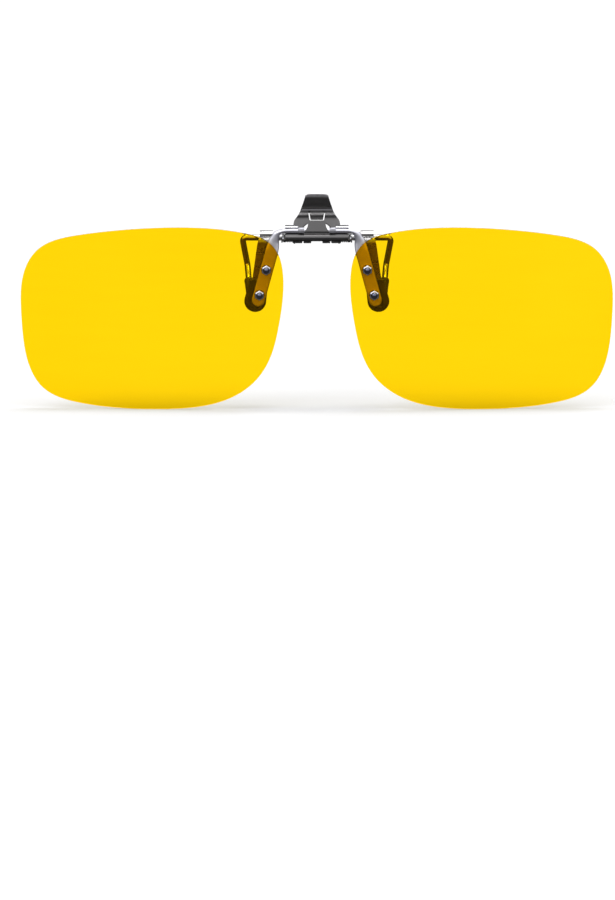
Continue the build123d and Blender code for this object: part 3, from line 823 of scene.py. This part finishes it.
def sheet_solid(outline, holes, place, t, step):
    """A flat pattern (x, v) with holes, carried onto a bent middle surface and given thickness t."""
    loops = [densify(outline, step)] + [densify(h, step * 0.6) for h in holes]
    pts, edges = [], []
    for lp in loops:
        o = len(pts)
        pts += lp
        edges += [(o + i, o + (i + 1) % len(lp)) for i in range(len(lp))]
    xs = [p[0] for p in outline]; vs = [p[1] for p in outline]
    nx = int((max(xs) - min(xs)) / step) + 1
    nv = int((max(vs) - min(vs)) / step) + 1
    for i in range(nx + 1):
        for j in range(nv + 1):
            p = (min(xs) + i * step, min(vs) + j * step)
            if inside(p, outline) and dist_poly(p, loops[0]) > step * 0.45 and \
                    all(not inside(p, h) and dist_poly(p, h) > step * 0.35 for h in holes):
                pts.append(p)
    V2, E2, F2 = delaunay_2d_cdt([Vector(p) for p in pts], edges, [], 0, 1e-7)[:3]
    tris = []
    for f in F2:
        c = (sum(V2[i][0] for i in f) / len(f), sum(V2[i][1] for i in f) / len(f))
        if inside(c, outline) and all(not inside(c, h) for h in holes):
            tris.append(tuple(f))
    n = len(V2)
    front, back = [], []
    for q in V2:
        pos, nor = place(q[0], q[1])
        front.append(tuple(pos + nor * t / 2)); back.append(tuple(pos - nor * t / 2))
    faces = [f for f in tris] + [tuple(i + n for i in reversed(f)) for f in tris]
    count = {}
    for f in tris:
        for a, b in zip(f, f[1:] + f[:1]):
            count[(a, b)] = count.get((a, b), 0) + 1
    for (a, b) in list(count):
        if (b, a) not in count:
            faces.append((b, a, a + n, b + n))
    used = sorted(set(i for f in faces for i in f))
    remap = {o: k for k, o in enumerate(used)}
    verts = front + back
    return [verts[i] for i in used], [tuple(remap[i] for i in f) for f in faces]


TP_T = 0.6
# middle of the sheet in side view (Y, Z), from the pivot bar to the lip
tp_back = catmull([(10.70, 0.38), (10.95, 1.78), (11.20, 3.38), (11.42, 4.95), (11.52, 5.80), (11.50, 6.45), (11.30, 6.95),
                   (10.88, 7.45), (10.30, 8.05), (9.66, 8.70), (9.25, 9.20), (9.07, 9.60), (9.03, 9.90), (9.05, 10.20)], 110)
d = np.gradient(tp_back, axis=0)
d /= np.hypot(*d.T)[:, None]
tp_path = tp_back + np.c_[-d[:, 1], d[:, 0]] * TP_T / 2
tp_len = np.r_[0, np.cumsum(np.hypot(*np.diff(tp_path, axis=0).T))]


V_CREASE = float(np.interp(6.95, tp_path[:, 1], tp_len))
V_RIB1 = float(np.interp(5.12, tp_path[:, 1], tp_len))
V_RIB2 = float(np.interp(5.95, tp_path[:, 1], tp_len))


def tp_place(x, v):
    v = min(max(v, 0), tp_len[-1])
    y = np.interp(v, tp_len, tp_path[:, 0]); z = np.interp(v, tp_len, tp_path[:, 1])
    e = 0.05
    y1 = np.interp(min(v + e, tp_len[-1]), tp_len, tp_path[:, 0]) - np.interp(max(v - e, 0), tp_len, tp_path[:, 0])
    z1 = np.interp(min(v + e, tp_len[-1]), tp_len, tp_path[:, 1]) - np.interp(max(v - e, 0), tp_len, tp_path[:, 1])
    nor = Vector((0, -z1, y1)).normalized()
    # the thumb area is dished above a pressed crease, and two pressed ribs stand slightly proud across the sheet
    dish = 0.0
    v0, v1 = V_CREASE + 0.5, tp_len[-1] - 0.25
    if v0 < v < v1:
        w = math.sin(math.pi * (v - v0) / (v1 - v0))
        dish -= 0.26 * w * max(0.0, 1 - (x / 3.2) ** 2)
    dish += 0.20 * math.exp(-((v - V_RIB2) / 0.27) ** 2)
    dish += 0.17 * math.exp(-((v - V_RIB1) / 0.21) ** 2)
    return Vector((x, y, z)) + nor * dish, nor


def v_at(z):
    return float(np.interp(z, tp_path[:, 1], tp_len))


TOPV = float(tp_len[-1])
ZT = float(tp_path[-1, 1])
wid = [(4.50, v_at(1.10)), (4.52, v_at(1.50)), (4.85, v_at(1.75)), (5.25, v_at(2.00)), (5.41, v_at(2.4)), (5.45, v_at(2.75)),
       (5.41, v_at(3.2)), (5.31, v_at(3.6)), (5.12, v_at(4.0)), (4.74, v_at(4.5)), (4.37, v_at(5.0)), (3.93, v_at(5.8)),
       (3.58, v_at(6.7)), (3.33, v_at(7.4)), (3.12, v_at(8.05)), (2.92, v_at(8.7)), (2.80, v_at(9.1)), (2.72, v_at(ZT - 0.62)),
       (2.62, v_at(ZT - 0.45)), (2.46, v_at(ZT - 0.30)), (2.26, v_at(ZT - 0.17)), (2.06, v_at(ZT - 0.08)), (1.86, v_at(ZT - 0.02)),
       (1.60, TOPV)]
archv = [(3.38, v_at(1.10)), (3.36, v_at(1.7)), (3.10, v_at(2.15)), (2.70, v_at(2.55)), (2.20, v_at(2.90)), (1.60, v_at(3.18)),
         (0.80, v_at(3.32))]
tp_out = [(-x, v) for x, v in archv] + [(x, v) for x, v in archv[::-1]] + [(x, v) for x, v in wid] + \
         [(-x, v) for x, v in wid[::-1]]
za, zb = v_at(3.74), v_at(5.46)
tongue = [(-1.96, zb), (-1.68, za), (1.68, za), (1.96, zb), (1.72, zb), (1.45, za + 0.16), (-1.45, za + 0.16), (-1.72, zb)]
vf = sheet_solid(tp_out, [tongue], tp_place, TP_T, 0.42)
tp = make("thumb_plate_stamped", *vf, thumb_plate_painted_light, "rear_jaw", "gunmetal", ["thumb_plate"])
feet = []
for s in (1, -1):
    feet.append(lathe([(0.70, -0.60), (1.25, -0.60), (1.25, 0.60), (0.70, 0.60), (0.70, -0.60)],
                      (s * 3.95, BAR_Y, BAR_Z), (1, 0, 0), 40))
boolean(tp, cutter(feet), "UNION")
bevel(tp, 0.10, 3, 50)
apply_mods(tp)
for p in tp.data.polygons:
    p.use_smooth = True
auto_smooth(tp.data, 32)

# ------------------------------------------------------------------ torsion springs
SP_WIRE, SP_R, X0, PITCH, TURNS = 0.17, 0.96, 5.2, 0.42, 7
pts = []
for k in range(4):
    pts.append((X0, BAR_Y - 5.2 + 5.2 * k / 4, BAR_Z - SP_R))
for k in range(TURNS * 28 + 1):
    t = 2 * math.pi * k / 28
    pts.append((X0 + PITCH * k / 28, BAR_Y + SP_R * math.sin(t), BAR_Z - SP_R * math.cos(t)))
xe = X0 + PITCH * TURNS
for k in range(1, 4):
    pts.append((xe, BAR_Y + 1.7 * k / 3, BAR_Z - SP_R - 0.2 * k / 3))
vf = tube(pts, SP_WIRE, 12)
make("right_jaw_spring_coil", *vf, coil_painted_shade_steel, "clamp_base", "spring_steel", ["right_jaw_spring"])
make("left_jaw_spring_coil", *mirrored(vf), coil_painted_shade_steel, "clamp_base", "spring_steel", ["left_jaw_spring"])

# ------------------------------------------------------------------ CAD nodes kept, with finished materials
keep = {"base_plate": base_sheet_painted_light, "flip_bracket": bracket_painted_light, "barrel_pin": chrome, "left_rod_clip": spring_steel,
        "right_rod_clip": spring_steel, "plate_rivets": gunmetal, "lens_screws": chrome}
for name, mat in keep.items():
    ob = frame["nodes"][name]
    if not ob.material_slots:
        ob.data.materials.append(mat)
    for s in ob.material_slots:
        s.material = mat
    w = ob.modifiers.new("weld", "WELD"); w.merge_threshold = 1e-6
    d = ob.modifiers.new("flat", "DECIMATE"); d.decimate_type = "DISSOLVE"; d.angle_limit = math.radians(0.6)
    b = bevel(ob, 0.08 if name != "base_plate" else 0.12, 3, 40)

# ------------------------------------------------------------------ camera
DIST, H_MM = 2.0, 208.7
mech = Vector(M((0, 0, 0)))
tilt = math.radians(4.0)
cam_z = mech.z + DIST * math.tan(tilt)
cam_data = bpy.data.cameras.new("camera")
cam = bpy.data.objects.new("camera", cam_data)
bpy.context.scene.collection.objects.link(cam)
cam_data.sensor_fit = "VERTICAL"
cam_data.sensor_height = 24.0
cam_data.lens = 24.0 * DIST * 1000 / H_MM
cam_data.clip_start, cam_data.clip_end = 0.05, 60
pos = Vector((-0.00217, OFF.y - DIST, cam_z))
# the middle of the picture lies 49.1 mm below the drawing's zero, as seen from the camera
target = Vector((-0.00217, OFF.y, OFF.z - 0.04908))
cam.location = pos
cam.rotation_euler = (target - pos).to_track_quat("-Z", "Y").to_euler()
bpy.context.scene.camera = cam

# ------------------------------------------------------------------ floor and light
floor_z = cad_box[0][2] - 0.00002


def floor_mat():
    """Matt white board. In mirror reflections it is as dark as a flag card under the set would make it."""
    m, nt, b, out = new_mat("pale_floor")
    n = noise(nt, coords(nt), 40.0, 3.0, 0.5)
    nt.links.new(ramp(nt, n, [(0.3, (0.90, 0.90, 0.90)), (0.7, (0.92, 0.92, 0.92))]), b.inputs["Base Color"])
    b.inputs["Roughness"].default_value = 0.8
    b.inputs["Specular IOR Level"].default_value = 0.0
    card = nt.nodes.new("ShaderNodeBsdfDiffuse")
    card.inputs[0].default_value = (0.11, 0.11, 0.115, 1)
    lp = nt.nodes.new("ShaderNodeLightPath")
    cmp_ = nt.nodes.new("ShaderNodeMath"); cmp_.operation = "GREATER_THAN"
    nt.links.new(lp.outputs["Glossy Depth"], cmp_.inputs[0])
    cmp_.inputs[1].default_value = 0.5
    mix = nt.nodes.new("ShaderNodeMixShader")
    nt.links.new(cmp_.outputs[0], mix.inputs[0])
    nt.links.new(b.outputs[0], mix.inputs[1])
    nt.links.new(card.outputs[0], mix.inputs[2])
    nt.links.new(mix.outputs[0], out.inputs[0])
    return m


me = bpy.data.meshes.new("floor")
S = 12.0
me.from_pydata([(-S, -S, floor_z), (S, -S, floor_z), (S, S, floor_z), (-S, S, floor_z)], [], [(0, 1, 2, 3)])
me.materials.append(floor_mat())
floor = bpy.data.objects.new("floor", me)
bpy.context.scene.collection.objects.link(floor)


def sun(name, direction, strength, angle, color=(1, 1, 1)):
    l = bpy.data.lights.new(name, "SUN")
    l.energy = strength
    l.angle = math.radians(angle)
    l.color = color
    o = bpy.data.objects.new(name, l)
    o.rotation_euler = (-Vector(direction)).to_track_quat("-Z", "Y").to_euler()
    bpy.context.scene.collection.objects.link(o)
    return o


def area(name, loc, target, size, power, color=(1, 1, 1)):
    l = bpy.data.lights.new(name, "AREA")
    l.shape = "RECTANGLE"
    l.size, l.size_y = size
    l.energy = power
    l.color = color
    o = bpy.data.objects.new(name, l)
    o.location = loc
    o.rotation_euler = (Vector(target) - Vector(loc)).to_track_quat("-Z", "Y").to_euler()
    bpy.context.scene.collection.objects.link(o)
    return o


sun("top_sun", (0.05, 0.14, 1.0), 0.78, 20)
sun("key_sun", (-0.60, -1.0, 1.0), 0.28, 30)
sun("back_sun", (0.50, 0.90, 1.10), 0.30, 25)
world = bpy.data.worlds.new("studio")
world.use_nodes = True
wt = world.node_tree
for n in list(wt.nodes):
    wt.nodes.remove(n)
wout = wt.nodes.new("ShaderNodeOutputWorld")
# one large soft box above and in front; dark studio walls elsewhere
tc = wt.nodes.new("ShaderNodeTexCoord")
dot = wt.nodes.new("ShaderNodeVectorMath"); dot.operation = "DOT_PRODUCT"
wt.links.new(tc.outputs["Generated"], dot.inputs[0])
dot.inputs[1].default_value = (0.0, -0.50, 0.866)
half_turn = wt.nodes.new("ShaderNodeMath"); half_turn.operation = "MULTIPLY_ADD"
wt.links.new(dot.outputs["Value"], half_turn.inputs[0])
half_turn.inputs[1].default_value = 0.5
half_turn.inputs[2].default_value = 0.5
wr = ramp(wt, half_turn.outputs[0], [(0.30, (0.05, 0.05, 0.055)), (0.68, (0.08, 0.08, 0.09)), (0.80, (1.15, 1.15, 1.16)),
                                     (1.0, (1.25, 1.25, 1.25))])
walls = wt.nodes.new("ShaderNodeBackground")
wt.links.new(wr, walls.inputs[0])
walls.inputs[1].default_value = 1.0
seen = wt.nodes.new("ShaderNodeBackground")
seen.inputs[0].default_value = (1, 1, 1, 1)
seen.inputs[1].default_value = 1.05
lp = wt.nodes.new("ShaderNodeLightPath")
first = wt.nodes.new("ShaderNodeMath"); first.operation = "LESS_THAN"
wt.links.new(lp.outputs["Glossy Depth"], first.inputs[0])
first.inputs[1].default_value = 0.5
through = wt.nodes.new("ShaderNodeMath"); through.operation = "MULTIPLY"
wt.links.new(lp.outputs["Is Transmission Ray"], through.inputs[0])
wt.links.new(first.outputs[0], through.inputs[1])
mx = wt.nodes.new("ShaderNodeMath"); mx.operation = "MAXIMUM"
wt.links.new(lp.outputs["Is Camera Ray"], mx.inputs[0])
wt.links.new(through.outputs[0], mx.inputs[1])
wm = wt.nodes.new("ShaderNodeMixShader")
wt.links.new(mx.outputs[0], wm.inputs[0])
wt.links.new(walls.outputs[0], wm.inputs[1])
wt.links.new(seen.outputs[0], wm.inputs[2])
wt.links.new(wm.outputs[0], wout.inputs[0])
bpy.context.scene.world = world
bpy.context.scene.view_settings.view_transform = "Standard"
